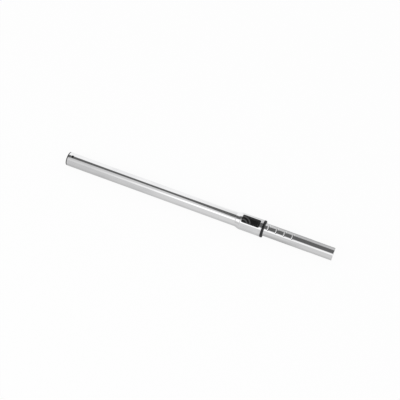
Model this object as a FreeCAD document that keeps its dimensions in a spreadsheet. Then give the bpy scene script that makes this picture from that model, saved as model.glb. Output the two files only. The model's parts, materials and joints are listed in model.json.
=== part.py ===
"""Telescopic vacuum wand: two chromed steel tubes with a sprung notch lock under a thumb button.

Frame: millimetres, +X from the hose end to the floor-head end, +Z up through the thumb button.
The origin is the centre of the hose end's mouth, on the tubes' common axis.
"""
import FreeCAD, Part
import os
import Sketcher
from FreeCAD import Placement, Rotation, Vector

# Driving dimensions in millimetres, and a few counts
SIZES = {
    # outer tube, swaged out to the latch housing
    "outer_slack": 0.7,
    "outer_wall": 0.8,
    "outer_length": 512.4,
    "neck_to_window": 3.8,
    "neck_length": 9.0,
    "neck_round": 16.0,
    "window_length": 45.0,
    "window_width": 21.0,
    "window_corner": 2.6,
    "window_setback": 6.7,
    "catch_hole_dia": 7.5,
    "catch_hole_from_end": 13.4,
    # bush in the hose end
    "socket_clearance": 0.1,
    "bush_length": 45.0,
    "bush_flange": 2.6,
    "bush_flange_inset": 0.2,
    "bush_flange_round": 0.8,
    "press_clearance": 0.05,
    # inner tube with its notch row, guide groove and plain end
    "inner_od": 32.0,
    "inner_wall": 0.8,
    "notch_pitch": 20.3,
    "notch_count": 19,
    "engaged_notch": 5,
    "notch_radius": 1.9,
    "notch_depth": 1.8,
    "notch_flare": 55.0,
    "notch_shoulder": 0.8,
    "notch_to_end": 103.2,
    "tail_margin": 52.1,
    "spigot_step": 0.25,
    "spigot_length": 55.0,
    "spigot_cone": 3.0,
    "end_round": 0.4,
    "groove_radius": 2.2,
    "groove_depth": 1.2,
    "groove_to_spigot": 20.0,
    # slide ring on the inner tube's hidden end
    "tail_ring_length": 22.5,
    "tail_ring_lip": 1.5,
    "tail_peg_dia": 3.9,
    "tail_peg_setback": 10.0,
    # guide sleeve in the housing
    "sleeve_setback": 1.5,
    "sleeve_clearance": 0.2,
    "sleeve_skin": 1.8,
    "snap_lug_length": 8.0,
    "snap_lug_width": 5.0,
    "snap_lug_setback": 30.0,
    # collar and wiper at the mouth
    "collar_proud": 0.5,
    "collar_width": 6.0,
    "collar_round": 1.9,
    "collar_spigot": 4.0,
    "collar_lip": 3.4,
    "wiper_thickness": 2.2,
    # latch
    "lock_ahead": 4.0,
    "release_travel": 4.0,
    "pin_inset": 1.1,
    "journal_dia": 1.8,
    "journal_inset": 0.6,
    "plate_thickness": 1.5,
    "plate_overlap": 1.6,
    "carriage_tongue": 2.0,
    "cheek_width": 1.8,
    "cheek_reach": 2.5,
    "button_margin": 0.4,
    "button_crown": 0.2,
    "button_top_radius": 30.0,
    "button_edge_round": 1.0,
    "button_corner": 3.0,
    "ridge_count": 2,
    "ridge_pitch": 7.6,
    "ridge_width": 3.6,
    "ridge_height": 0.5,
    "ridge_first_radius": 10.0,
    "ridge_centre_along": 5.0,
    "ridge_centre_aside": 13.5,
    "ridge_inset": 1.0,
    "peg_dia": 3.0,
    "peg_spread": 10.0,
    "peg_inset": 6.0,
    "running_clearance": 0.3,
    "fit_clearance": 0.1,
    # return spring
    "spring_od": 2.0,
    "spring_wire": 0.35,
    "spring_wall": 2.0,
    "spring_turns": 6,
    "post_thickness": 1.5,
}

# Radii, as expressions of the sheet, from the inner tube outwards
INNER_R = "(size.inner_od / 2)"
INNER_BORE = f"({INNER_R} - size.inner_wall)"
SPIGOT_R = f"({INNER_R} - size.spigot_step)"
SPIGOT_BORE = f"({SPIGOT_R} - size.inner_wall)"
BUSH_BORE = f"({INNER_R} + size.socket_clearance)"
OUTER_BORE = f"({INNER_R} + size.outer_slack)"
OUTER_R = f"({OUTER_BORE} + size.outer_wall)"
SLEEVE_BORE = f"({INNER_R} + size.sleeve_clearance)"
DECK_R = f"({SLEEVE_BORE} + size.sleeve_skin)"
PLATE_R = f"({DECK_R} + size.sleeve_clearance)"
PLATE_TOP = f"({PLATE_R} + size.plate_thickness)"
HOUSING_BORE = f"({PLATE_TOP} + size.running_clearance)"
HOUSING_R = f"({HOUSING_BORE} + size.outer_wall)"
SLEEVE_R = f"({HOUSING_BORE} - size.fit_clearance)"
BUTTON_UNDER = f"({PLATE_TOP} + size.fit_clearance)"
BUTTON_TOP = f"({HOUSING_R} + size.button_crown)"
PIN_R = "(size.notch_radius - size.sleeve_clearance)"
JOURNAL_R = "(size.journal_dia / 2)"

# Stations along the axis
MOUTH_X = "(size.bush_flange + size.outer_length)"
WINDOW_RIGHT = f"({MOUTH_X} - size.window_setback)"
WINDOW_LEFT = f"({WINDOW_RIGHT} - size.window_length)"
NECK_END = f"({WINDOW_LEFT} - size.neck_to_window)"
NECK_START = f"({NECK_END} - size.neck_length)"
SLEEVE_LEFT = f"({NECK_END} + size.sleeve_setback)"
COLLAR_LEFT = f"({MOUTH_X} - size.collar_spigot)"
COLLAR_RIGHT = f"({MOUTH_X} + size.collar_width)"
COLLAR_STEP = f"({COLLAR_RIGHT} - size.collar_lip)"
LOCK_X = f"(({WINDOW_LEFT} + {WINDOW_RIGHT}) / 2 + size.lock_ahead)"
LAST_NOTCH = f"({LOCK_X} + size.engaged_notch * size.notch_pitch)"
TUBE_END = f"({LAST_NOTCH} + size.notch_to_end)"
TAIL_X = f"({LAST_NOTCH} - (size.notch_count - 1) * size.notch_pitch - size.tail_margin)"
SPIGOT_LEFT = f"({TUBE_END} - size.spigot_length)"
CONE_LEFT = f"({SPIGOT_LEFT} - size.spigot_cone)"
GROOVE_END = f"({CONE_LEFT} - size.groove_to_spigot)"
TAIL_PEG_X = f"({TAIL_X} + size.tail_peg_setback)"
RECESS_RIGHT = f"({WINDOW_RIGHT} + 2 * size.running_clearance)"
CARRIAGE_LEFT = f"({WINDOW_LEFT} - size.carriage_tongue)"
CARRIAGE_RIGHT = f"({RECESS_RIGHT} - size.release_travel - size.running_clearance)"
BUTTON_LEFT = f"({WINDOW_LEFT} + size.running_clearance)"
BUTTON_RIGHT = f"({WINDOW_RIGHT} - size.release_travel - size.running_clearance)"
RELEASED_X = f"({LOCK_X} - size.release_travel)"
CHEEK_LEFT = f"({RELEASED_X} - {JOURNAL_R} - size.cheek_reach)"
CHEEK_RIGHT = f"({LOCK_X} + {JOURNAL_R} + size.cheek_reach)"
SPRING_SLOT_LEFT = f"({BUTTON_LEFT} + size.spring_wall)"
SPRING_SLOT_RIGHT = f"({RELEASED_X} - {PIN_R} - size.cheek_reach)"
POST_RIGHT = f"({SPRING_SLOT_RIGHT} - size.running_clearance)"
POST_LEFT = f"({POST_RIGHT} - size.post_thickness)"
PEG_STATIONS = (f"({BUTTON_LEFT} + size.peg_inset)", f"({BUTTON_RIGHT} - size.peg_inset)")

# Heights above the axis and places across it
LOCK_Z = f"({INNER_R} - size.notch_depth + size.notch_radius)"
PIN_LIFT = "(size.notch_depth + size.fit_clearance)"
GROOVE_Z = f"(-({INNER_R} - size.groove_depth + size.groove_radius))"
WINDOW_HALF = "(size.window_width / 2)"
BUTTON_HALF = f"({WINDOW_HALF} - size.button_margin)"
PLATE_HALF = f"({WINDOW_HALF} + size.plate_overlap)"
CHEEK_OUTER = BUTTON_HALF
CHEEK_INNER = f"({CHEEK_OUTER} - size.cheek_width)"
CHEEK_FOOT = f"(sqrt({INNER_R} ^ 2 - {CHEEK_INNER} ^ 2) + size.running_clearance)"
CHEEK_HEAD = f"(sqrt({PLATE_TOP} ^ 2 - {CHEEK_OUTER} ^ 2) - size.running_clearance)"
JOURNAL_HALF = f"({CHEEK_OUTER} - size.journal_inset)"
PIN_HALF = f"({CHEEK_INNER} - size.pin_inset)"
SPRING_R = "(size.spring_od / 2)"
SPRING_Z = f"({DECK_R} + size.sleeve_clearance + {SPRING_R})"
SPRING_SLOT_HALF = f"({SPRING_R} + size.running_clearance)"
SPRING_CEILING = f"({SPRING_Z} + {SPRING_R} + size.fit_clearance)"
PEG_Y = "(size.peg_spread / 2)"
PEG_R = "(size.peg_dia / 2)"
PEG_FOOT = f"(sqrt({DECK_R} ^ 2 - ({PEG_Y} - {PEG_R}) ^ 2) + size.running_clearance)"
HOUSING_OD = f"(2 * {HOUSING_R})"

# How near an edge's or a face's size must be to count as the one looked for
MATCH = 0.01

doc = FreeCAD.newDocument("telescopic_wand")
sheet = doc.addObject("Spreadsheet::Sheet", "size")


def fill_sheet():
    """One row per driving dimension: its name, and its value under that alias."""
    for row, (name, value) in enumerate(SIZES.items(), start=1):
        sheet.set(f"A{row}", name)
        sheet.set(f"B{row}", str(value))
        sheet.setAlias(f"B{row}", name)
    doc.recompute()


def number(expression):
    """The present value of an expression of the sheet."""
    return float(sheet.evalExpression(expression))


def new_body(label):
    """An empty body that carries the sub-part's name."""
    body = doc.addObject("PartDesign::Body", label)
    body.Label = label
    return body


def origin_feature(body, role):
    """One of the body's own origin planes or axes, by its role."""
    return next(item for item in body.Origin.OriginFeatures if item.Role == role)


def new_sketch(body, name, plane, offset="0"):
    """A sketch on one of the body's origin planes, moved along the plane's normal by an expression."""
    sketch = body.newObject("Sketcher::SketchObject", name)
    sketch.AttachmentSupport = [(origin_feature(body, plane), "")]
    sketch.MapMode = "FlatFace"
    sketch.AttachmentOffset = Placement(Vector(0, 0, number(offset)), Rotation())
    sketch.setExpression("AttachmentOffset.Base.z", offset)
    return sketch


def set_size(sketch, constraint, expression):
    """Add a sizing constraint and bind it to the sheet."""
    index = sketch.addConstraint(constraint)
    sketch.setExpression(f"Constraints[{index}]", expression)


def place_point(sketch, geometry, end, across, up):
    """Fix a point of the sketch at two expressions, measured from the sketch's origin."""
    for kind, expression in (("DistanceX", across), ("DistanceY", up)):
        constraint = Sketcher.Constraint(kind, -1, 1, geometry, end, number(expression))
        set_size(sketch, constraint, expression)


def set_radius(sketch, geometry, expression):
    """Bind a circle's or an arc's radius to the sheet."""
    set_size(sketch, Sketcher.Constraint("Radius", geometry, number(expression)), expression)


def draw_polygon(sketch, corners):
    """A closed outline through the corners, each a pair of expressions."""
    points = [Vector(number(across), number(up), 0) for across, up in corners]
    lines = [
        sketch.addGeometry(Part.LineSegment(start, finish), False)
        for start, finish in zip(points, points[1:] + points[:1])
    ]
    for line, after in zip(lines, lines[1:] + lines[:1]):
        sketch.addConstraint(Sketcher.Constraint("Coincident", line, 2, after, 1))
    for line, (across, up) in zip(lines, corners):
        place_point(sketch, line, 1, across, up)


def draw_rectangle(sketch, left, right, low, high):
    """A plain rectangle between four expressions."""
    draw_polygon(sketch, [(left, low), (right, low), (right, high), (left, high)])


def draw_circle(sketch, across, up, radius):
    """A circle whose centre and radius are expressions."""
    centre = Vector(number(across), number(up), 0)
    circle = sketch.addGeometry(Part.Circle(centre, Vector(0, 0, 1), number(radius)), False)
    place_point(sketch, circle, 3, across, up)
    set_radius(sketch, circle, radius)


def draw_slot(sketch, start, finish, radius):
    """A round-ended slot between two centres, each a pair of expressions."""
    first = Vector(number(start[0]), number(start[1]), 0)
    last = Vector(number(finish[0]), number(finish[1]), 0)
    r = number(radius)
    along = (last - first).normalize()
    side = Vector(-along.y, along.x, 0) * r
    lower = sketch.addGeometry(Part.LineSegment(first - side, last - side), False)
    tip = Part.Arc(last - side, last + along * r, last + side)
    far_end = sketch.addGeometry(tip, False)
    upper = sketch.addGeometry(Part.LineSegment(last + side, first + side), False)
    heel = Part.Arc(first + side, first - along * r, first - side)
    near_end = sketch.addGeometry(heel, False)
    for one, other in ((lower, far_end), (far_end, upper), (upper, near_end), (near_end, lower)):
        sketch.addConstraint(Sketcher.Constraint("Tangent", one, 2, other, 1))
    place_point(sketch, near_end, 3, *start)
    place_point(sketch, far_end, 3, *finish)
    set_radius(sketch, near_end, radius)


def draw_rounded_rectangle(sketch, left, right, low, high, corner):
    """A rectangle between four expressions, with equal round corners."""
    x0, x1, y0, y1, r = (number(each) for each in (left, right, low, high, corner))
    half = r * (1 - 0.5 ** 0.5)
    sides = [
        ((x0 + r, y0), (x1 - r, y0), (x1 - half, y0 + half)),
        ((x1, y0 + r), (x1, y1 - r), (x1 - half, y1 - half)),
        ((x1 - r, y1), (x0 + r, y1), (x0 + half, y1 - half)),
        ((x0, y1 - r), (x0, y0 + r), (x0 + half, y0 + half)),
    ]
    for i, (start, finish, bend) in enumerate(sides):
        after = sides[(i + 1) % len(sides)][0]
        sketch.addGeometry(Part.LineSegment(Vector(*start), Vector(*finish)), False)
        sketch.addGeometry(Part.Arc(Vector(*finish), Vector(*bend), Vector(*after)), False)
    pieces = 2 * len(sides)
    for i in range(pieces):
        sketch.addConstraint(Sketcher.Constraint("Tangent", i, 2, (i + 1) % pieces, 1))
    for line, kind in ((0, "Horizontal"), (2, "Vertical"), (4, "Horizontal"), (6, "Vertical")):
        sketch.addConstraint(Sketcher.Constraint(kind, line))
    for arc in (3, 5, 7):
        sketch.addConstraint(Sketcher.Constraint("Equal", 1, arc))
    set_radius(sketch, 1, corner)
    for kind, line, expression in (
        ("DistanceY", 0, low),
        ("DistanceX", 2, right),
        ("DistanceY", 4, high),
        ("DistanceX", 6, left),
    ):
        constraint = Sketcher.Constraint(kind, -1, 1, line, 1, number(expression))
        set_size(sketch, constraint, expression)


def draw_notch(sketch, relief):
    """A pressed notch in side view: a round floor and two flanks that flare to above the tube."""
    radius = f"(size.notch_radius + {relief})"
    flare = "(size.notch_flare * 1 deg)"
    top = f"({INNER_R} + size.notch_depth)"
    knee = f"({radius} * sin({flare}))"
    knee_z = f"({LOCK_Z} - {radius} * cos({flare}))"
    mouth = f"({knee} + ({top} - {knee_z}) / tan({flare}))"
    middle, floor = number(LAST_NOTCH), number(f"{LOCK_Z} - {radius}")
    feet = [Vector(middle + side * number(knee), number(knee_z), 0) for side in (-1, 1)]
    heads = [Vector(middle + side * number(mouth), number(top), 0) for side in (-1, 1)]
    dip = sketch.addGeometry(Part.Arc(feet[0], Vector(middle, floor, 0), feet[1]), False)
    place_point(sketch, dip, 3, LAST_NOTCH, LOCK_Z)
    set_radius(sketch, dip, radius)
    # the arc runs counter-clockwise, so it starts at the flank nearer to the hose end
    flanks = [sketch.addGeometry(Part.LineSegment(foot, head), False) for foot, head in zip(feet, heads)]
    for flank, end, sign in zip(flanks, (1, 2), ("-", "+")):
        sketch.addConstraint(Sketcher.Constraint("Tangent", dip, end, flank, 1))
        place_point(sketch, flank, 2, f"{LAST_NOTCH} {sign} {mouth}", top)
    lid = sketch.addGeometry(Part.LineSegment(*heads), False)
    for flank, end in zip(flanks, (1, 2)):
        sketch.addConstraint(Sketcher.Constraint("Coincident", lid, end, flank, 2))


def draw_arch(sketch, under, top, half_width, under_radius=None, top_radius=None):
    """A curved strip across the axis, between two crown heights; an arc with no radius is coaxial."""
    half = number(half_width)
    arcs = []
    for crown, radius in ((under, under_radius or under), (top, top_radius or top)):
        r = number(radius)
        centre = number(crown) - r
        foot = centre + (r ** 2 - half ** 2) ** 0.5
        ends = (Vector(-half, foot, 0), Vector(half, foot, 0))
        arc = sketch.addGeometry(Part.Arc(ends[0], Vector(0, number(crown), 0), ends[1]), False)
        place_point(sketch, arc, 3, "0", f"{crown} - {radius}")
        set_radius(sketch, arc, radius)
        arcs.append((arc, ends))
    (low_arc, low_ends), (high_arc, high_ends) = arcs
    # both arcs run counter-clockwise, so they start at +Y
    for i, end, across in ((0, 2, f"-{half_width}"), (1, 1, half_width)):
        line = sketch.addGeometry(Part.LineSegment(low_ends[i], high_ends[i]), False)
        sketch.addConstraint(Sketcher.Constraint("Coincident", line, 1, low_arc, end))
        sketch.addConstraint(Sketcher.Constraint("Coincident", line, 2, high_arc, end))
        sketch.addConstraint(Sketcher.Constraint("Vertical", line))
        constraint = Sketcher.Constraint("DistanceX", -1, 1, line, 1, number(across))
        set_size(sketch, constraint, across)


def revolve(body, name, corners, plane="XZ_Plane"):
    """Turn a closed profile about the sketch's own horizontal axis."""
    sketch = new_sketch(body, f"{name}_profile", plane)
    draw_polygon(sketch, corners)
    feature = body.newObject("PartDesign::Revolution", name)
    feature.Profile = sketch
    feature.ReferenceAxis = (sketch, ["H_Axis"])
    feature.Angle = 360
    doc.recompute()
    return feature


def extrude(body, kind, name, sketch, length, symmetric=False, forward=True):
    """Pad or pocket a sketch along its normal (forward), against it, or to both sides."""
    before = 0 if body.Shape.isNull() else body.Shape.Volume
    feature = body.newObject(f"PartDesign::{kind}", name)
    feature.Profile = sketch
    feature.Type = "Length"
    feature.SideType = "Symmetric" if symmetric else "One side"
    feature.setExpression("Length", length)
    # a pad grows along the normal by itself, a pocket against it
    feature.Reversed = forward == (kind == "Pocket")
    doc.recompute()
    change = body.Shape.Volume - before
    if (change > 0) != (kind == "Pad"):
        raise RuntimeError(f"{body.Label}: {name} changed the volume by {change:.3f}")
    return feature


def pad(body, name, sketch, length, **direction):
    """Add an extrusion of a sketch."""
    return extrude(body, "Pad", name, sketch, length, **direction)


def pocket(body, name, sketch, length, **direction):
    """Cut an extrusion of a sketch."""
    return extrude(body, "Pocket", name, sketch, length, **direction)


def repeat_along(body, feature, spacing, count):
    """Repeat a feature along the axis, towards the hose end."""
    pattern = body.newObject("PartDesign::LinearPattern", f"{feature.Name}_row")
    pattern.Originals = [feature]
    pattern.Direction = (origin_feature(body, "X_Axis"), [""])
    pattern.Reversed = True
    pattern.Mode = "Spacing"
    pattern.setExpression("Offset", spacing)
    pattern.setExpression("Occurrences", count)
    body.Tip = pattern
    doc.recompute()
    return pattern


def round_edges(body, name, radius, chosen):
    """Fillet the edges of the body's tip that a test picks."""
    base = body.Tip
    edges = [f"Edge{i}" for i, edge in enumerate(base.Shape.Edges, start=1) if chosen(edge)]
    if not edges:
        raise RuntimeError(f"{body.Label}: {name} found no edge")
    fillet = body.newObject("PartDesign::Fillet", name)
    fillet.Base = (base, edges)
    fillet.setExpression("Radius", radius)
    doc.recompute()
    return fillet


def is_ring(x, radius):
    """A test for a full circle about the axis, at a station and a radius."""
    place, size = number(x), number(radius)

    def test(edge):
        if not isinstance(edge.Curve, Part.Circle):
            return False
        return abs(edge.Curve.Center.x - place) < MATCH and abs(edge.Curve.Radius - size) < MATCH

    return test


def is_notch_mouth(edge):
    """Whether an edge is one where a notch meets the inner tube's outside."""
    if isinstance(edge.Curve, (Part.Line, Part.Circle)):
        return False
    radius = number(INNER_R)
    return all(
        point.z > 0 and abs(Vector(0, point.y, point.z).Length - radius) < MATCH
        for point in edge.discretize(3)
    )


def make_outer_tube():
    """Steel tube, swaged out to the housing, with the button's window and two holes."""
    body = new_body("outer_tube")
    rise = f"({HOUSING_R} - {OUTER_R})"
    shift = f"(size.outer_wall * tan(atan({rise} / size.neck_length) / 2))"
    revolve(body, "tube_wall", [
        ("size.bush_flange", OUTER_BORE),
        ("size.bush_flange", OUTER_R),
        (NECK_START, OUTER_R),
        (NECK_END, HOUSING_R),
        (MOUTH_X, HOUSING_R),
        (MOUTH_X, HOUSING_BORE),
        (f"{NECK_END} + {shift}", HOUSING_BORE),
        (f"{NECK_START} + {shift}", OUTER_BORE),
    ])
    outside_bend = "size.neck_round + size.outer_wall"
    for name, radius, x, r in (
        ("neck_foot", "size.neck_round", NECK_START, OUTER_R),
        ("neck_foot_inside", outside_bend, f"{NECK_START} + {shift}", OUTER_BORE),
        ("neck_head", outside_bend, NECK_END, HOUSING_R),
        ("neck_head_inside", "size.neck_round", f"{NECK_END} + {shift}", HOUSING_BORE),
    ):
        round_edges(body, name, radius, is_ring(x, r))
    window = new_sketch(body, "window_outline", "XY_Plane")
    draw_rounded_rectangle(
        window, WINDOW_LEFT, WINDOW_RIGHT, f"-{WINDOW_HALF}", WINDOW_HALF, "size.window_corner"
    )
    pocket(body, "window", window, HOUSING_OD)
    catch = new_sketch(body, "catch_outline", "XY_Plane")
    draw_circle(catch, "size.catch_hole_from_end", "0", "size.catch_hole_dia / 2")
    pocket(body, "catch_hole", catch, HOUSING_OD)
    snap = new_sketch(body, "snap_outline", "XY_Plane")
    draw_snap_lug(snap, "size.fit_clearance")
    pocket(body, "snap_hole", snap, HOUSING_OD, forward=False)
    return body


def draw_snap_lug(sketch, margin):
    """The plan of the lug that holds the guide sleeve, or of its hole with a margin."""
    middle = f"({MOUTH_X} - size.snap_lug_setback)"
    reach = f"(size.snap_lug_length / 2 + {margin})"
    half = f"(size.snap_lug_width / 2 + {margin})"
    draw_rectangle(sketch, f"{middle} - {reach}", f"{middle} + {reach}", f"-{half}", half)


def make_hose_end_bush():
    """Plastic bush pressed into the hose end, with a thin flange and the catch hole."""
    body = new_body("hose_end_bush")
    seat = f"({OUTER_BORE} - size.press_clearance)"
    flange = f"({OUTER_R} - size.bush_flange_inset)"
    revolve(body, "bush_wall", [
        ("0", BUSH_BORE),
        ("0", flange),
        ("size.bush_flange", flange),
        ("size.bush_flange", seat),
        ("size.bush_length", seat),
        ("size.bush_length", BUSH_BORE),
    ])
    round_edges(body, "flange_round", "size.bush_flange_round", is_ring("0", flange))
    catch = new_sketch(body, "catch_outline", "XY_Plane")
    draw_circle(catch, "size.catch_hole_from_end", "0", "size.catch_hole_dia / 2")
    pocket(body, "catch_hole", catch, HOUSING_OD)
    return body


def make_tube_form(label, left, right, radius, end_radius, relief, edge):
    """A solid bar of the inner tube's outside or inside form, with its notches and groove.

    The outside form has relief 0. The inside form has the wall as relief, so that each pressed notch
    keeps its wall.
    """
    body = new_body(label)
    revolve(body, f"{label}_bar", [
        (left, "0"),
        (left, radius),
        (CONE_LEFT, radius),
        (SPIGOT_LEFT, end_radius),
        (f"{right} - {edge}", end_radius),
        (right, f"{end_radius} - {edge}"),
        (right, "0"),
    ])
    groove = new_sketch(body, f"{label}_groove", "YZ_Plane", left)
    draw_circle(groove, "0", GROOVE_Z, f"size.groove_radius + {relief}")
    pocket(body, f"{label}_guide_groove", groove, f"{GROOVE_END} + {relief} - {left}")
    notch = new_sketch(body, f"{label}_notch", "XZ_Plane")
    draw_notch(notch, relief)
    cut = pocket(body, f"{label}_notch_cut", notch, "size.inner_od", symmetric=True)
    repeat_along(body, cut, "size.notch_pitch", "size.notch_count")
    return body


def make_inner_tube():
    """Steel tube with the pressed notch row on top, a guide groove below and a plain end."""
    outside = make_tube_form("inner_outside", TAIL_X, TUBE_END, INNER_R, SPIGOT_R, "0", "size.end_round")
    round_edges(outside, "notch_shoulders", "size.notch_shoulder", is_notch_mouth)
    overrun = "size.inner_wall"
    inside = make_tube_form(
        "inner_inside",
        f"({TAIL_X} - {overrun})",
        f"({TUBE_END} + {overrun})",
        INNER_BORE,
        SPIGOT_BORE,
        "size.inner_wall",
        "size.inner_wall / 2",
    )
    wall = doc.addObject("Part::Cut", "inner_wall_form")
    wall.Base = outside
    wall.Tool = inside
    drill = doc.addObject("Part::Cylinder", "tail_peg_drill")
    drill.setExpression("Radius", "size.tail_peg_dia / 2 + size.fit_clearance")
    drill.setExpression("Height", "size.inner_od")
    drill.Placement = Placement(Vector(), Rotation(Vector(1, 0, 0), -90))
    drill.setExpression("Placement.Base.x", TAIL_PEG_X)
    drill.setExpression("Placement.Base.y", f"-{INNER_R}")
    tube = doc.addObject("Part::Cut", "inner_tube")
    tube.Label = "inner_tube"
    tube.Base = wall
    tube.Tool = drill
    return tube


def make_tail_ring():
    """Plastic slide ring on the hidden end of the inner tube, held by two pegs in its wall."""
    ring = new_body("tail_ring_wall")
    seat = f"({INNER_R} + size.press_clearance)"
    outside = f"({OUTER_BORE} - size.fit_clearance)"
    revolve(ring, "ring_wall", [
        (f"{TAIL_X} - size.tail_ring_lip", INNER_BORE),
        (f"{TAIL_X} - size.tail_ring_lip", f"{outside} - size.end_round"),
        (f"{TAIL_X} - size.tail_ring_lip + size.end_round", outside),
        (f"{TAIL_X} + size.tail_ring_length", outside),
        (f"{TAIL_X} + size.tail_ring_length", seat),
        (TAIL_X, seat),
        (TAIL_X, INNER_BORE),
    ])
    pieces = [ring]
    root = f"(({seat} + {outside}) / 2)"
    for side, foot in (("left", INNER_BORE), ("right", f"(-{root})")):
        peg = doc.addObject("Part::Cylinder", f"tail_peg_{side}")
        peg.setExpression("Radius", "size.tail_peg_dia / 2")
        peg.setExpression("Height", f"{root} - {INNER_BORE}")
        peg.Placement = Placement(Vector(), Rotation(Vector(1, 0, 0), -90))
        peg.setExpression("Placement.Base.x", TAIL_PEG_X)
        peg.setExpression("Placement.Base.y", foot)
        pieces.append(peg)
    fused = doc.addObject("Part::MultiFuse", "tail_ring")
    fused.Label = "tail_ring"
    fused.Shapes = pieces
    return fused


def make_guide_sleeve():
    """Plastic sleeve in the housing: it guides the tube, the pin and the carriage."""
    body = new_body("guide_sleeve")
    revolve(body, "sleeve_wall", [
        (SLEEVE_LEFT, SLEEVE_BORE),
        (SLEEVE_LEFT, SLEEVE_R),
        (COLLAR_LEFT, SLEEVE_R),
        (COLLAR_LEFT, SLEEVE_BORE),
    ])
    overrun = "size.running_clearance"
    deck = new_sketch(body, "deck_outline", "YZ_Plane", f"{SLEEVE_LEFT} - {overrun}")
    draw_arch(deck, DECK_R, f"({SLEEVE_R} + {overrun})", f"({PLATE_HALF} + size.running_clearance)")
    pocket(body, "carriage_deck", deck, f"{RECESS_RIGHT} - {SLEEVE_LEFT} + {overrun}")
    pin_slot = new_sketch(body, "pin_slot_outline", "XY_Plane")
    reach = f"({PIN_R} + size.fit_clearance)"
    half = f"({JOURNAL_HALF} + size.sleeve_clearance)"
    draw_rectangle(pin_slot, f"{LOCK_X} - {reach}", f"{LOCK_X} + {reach}", f"-{half}", half)
    pocket(body, "pin_slot", pin_slot, HOUSING_OD)
    for side, sign in (("far", ""), ("near", "-")):
        cheek_slot = new_sketch(body, f"cheek_slot_{side}_outline", "XY_Plane")
        draw_rectangle(
            cheek_slot,
            f"{CHEEK_LEFT} - size.running_clearance",
            f"{CHEEK_RIGHT} + size.release_travel + size.running_clearance",
            f"{sign}({CHEEK_INNER} - size.sleeve_clearance)",
            f"{sign}({CHEEK_OUTER} + size.sleeve_clearance)",
        )
        pocket(body, f"cheek_slot_{side}", cheek_slot, HOUSING_OD)
    post = new_sketch(body, "spring_post_outline", "XY_Plane", f"{DECK_R} - size.sleeve_skin / 2")
    draw_rectangle(post, POST_LEFT, POST_RIGHT, f"-{SPRING_R}", SPRING_R)
    pad(body, "spring_post", post, f"{SPRING_Z} + {SPRING_R} - {DECK_R} + size.sleeve_skin / 2")
    key = new_sketch(body, "key_outline", "YZ_Plane", SLEEVE_LEFT)
    draw_circle(key, "0", GROOVE_Z, "size.groove_radius - size.running_clearance")
    pad(body, "guide_key", key, f"{COLLAR_LEFT} - {SLEEVE_LEFT}")
    lug_depth = f"({HOUSING_R} - size.sleeve_clearance)"
    lug_root = f"({SLEEVE_R} - size.sleeve_skin)"
    lug = new_sketch(body, "snap_lug_outline", "XY_Plane", f"-{lug_root}")
    draw_snap_lug(lug, "0")
    pad(body, "snap_lug", lug, f"{lug_depth} - {lug_root}", forward=False)
    return body


def make_mouth_collar():
    """Black bead at the housing's mouth, with a spigot inside it and a lip that holds the wiper."""
    body = new_body("mouth_collar")
    bead_r = f"({HOUSING_R} + size.collar_proud)"
    seat = f"({INNER_R} + size.fit_clearance + size.wiper_thickness + size.fit_clearance)"
    revolve(body, "collar_wall", [
        (COLLAR_LEFT, seat),
        (COLLAR_LEFT, SLEEVE_R),
        (MOUTH_X, SLEEVE_R),
        (MOUTH_X, bead_r),
        (COLLAR_RIGHT, bead_r),
        (COLLAR_RIGHT, f"{SLEEVE_BORE} + size.running_clearance"),
        (COLLAR_STEP, f"{SLEEVE_BORE} + size.running_clearance"),
        (COLLAR_STEP, seat),
    ])
    round_edges(body, "bead_front", "size.collar_round", is_ring(COLLAR_RIGHT, bead_r))
    round_edges(body, "bead_back", "size.collar_proud", is_ring(MOUTH_X, bead_r))
    return body


def make_wiper_seal():
    """Rubber ring in the collar, with a lip that leans on the inner tube."""
    body = new_body("wiper_seal")
    lip = f"({INNER_R} + size.fit_clearance)"
    back = f"({lip} + size.wiper_thickness)"
    waist = f"({lip} + size.wiper_thickness / 3)"
    middle = f"(({COLLAR_LEFT} + {COLLAR_STEP}) / 2)"
    face = f"({COLLAR_STEP} - size.fit_clearance)"
    revolve(body, "wiper_wall", [
        (COLLAR_LEFT, waist),
        (COLLAR_LEFT, back),
        (face, back),
        (face, lip),
        (f"{face} - size.wiper_thickness / 2", lip),
        (middle, waist),
    ])
    return body


def make_lock_pin():
    """Steel cross pin with a thin journal at each end, which rides in the carriage's cam slots."""
    body = new_body("lock_pin")
    chamfer = "size.running_clearance"
    one_end = [
        (PIN_HALF, PIN_R),
        (PIN_HALF, JOURNAL_R),
        (f"({JOURNAL_HALF} - {chamfer})", JOURNAL_R),
        (JOURNAL_HALF, f"{JOURNAL_R} - {chamfer}"),
        (JOURNAL_HALF, "0"),
    ]
    other_end = [(f"-{along}", radius) for along, radius in reversed(one_end)]
    revolve(body, "pin_wall", other_end + one_end, plane="YZ_Plane")
    body.setExpression("Placement.Base.x", LOCK_X)
    body.setExpression("Placement.Base.z", LOCK_Z)
    return body


def cut_cam_slots(body):
    """Cut the path that the pin takes through the carriage or the button as these are pushed on."""
    start = (LOCK_X, LOCK_Z)
    finish = (RELEASED_X, f"{LOCK_Z} + {PIN_LIFT}")
    widths = (
        ("pin_path", f"{PIN_R} + size.fit_clearance", f"2 * ({PIN_HALF} + size.sleeve_clearance)"),
        ("journal_path", f"{JOURNAL_R} + size.fit_clearance", f"2 * ({JOURNAL_HALF} + size.fit_clearance)"),
    )
    for name, radius, span in widths:
        sketch = new_sketch(body, f"{name}_outline", "XZ_Plane")
        draw_slot(sketch, start, finish, radius)
        pocket(body, name, sketch, span, symmetric=True)


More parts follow.
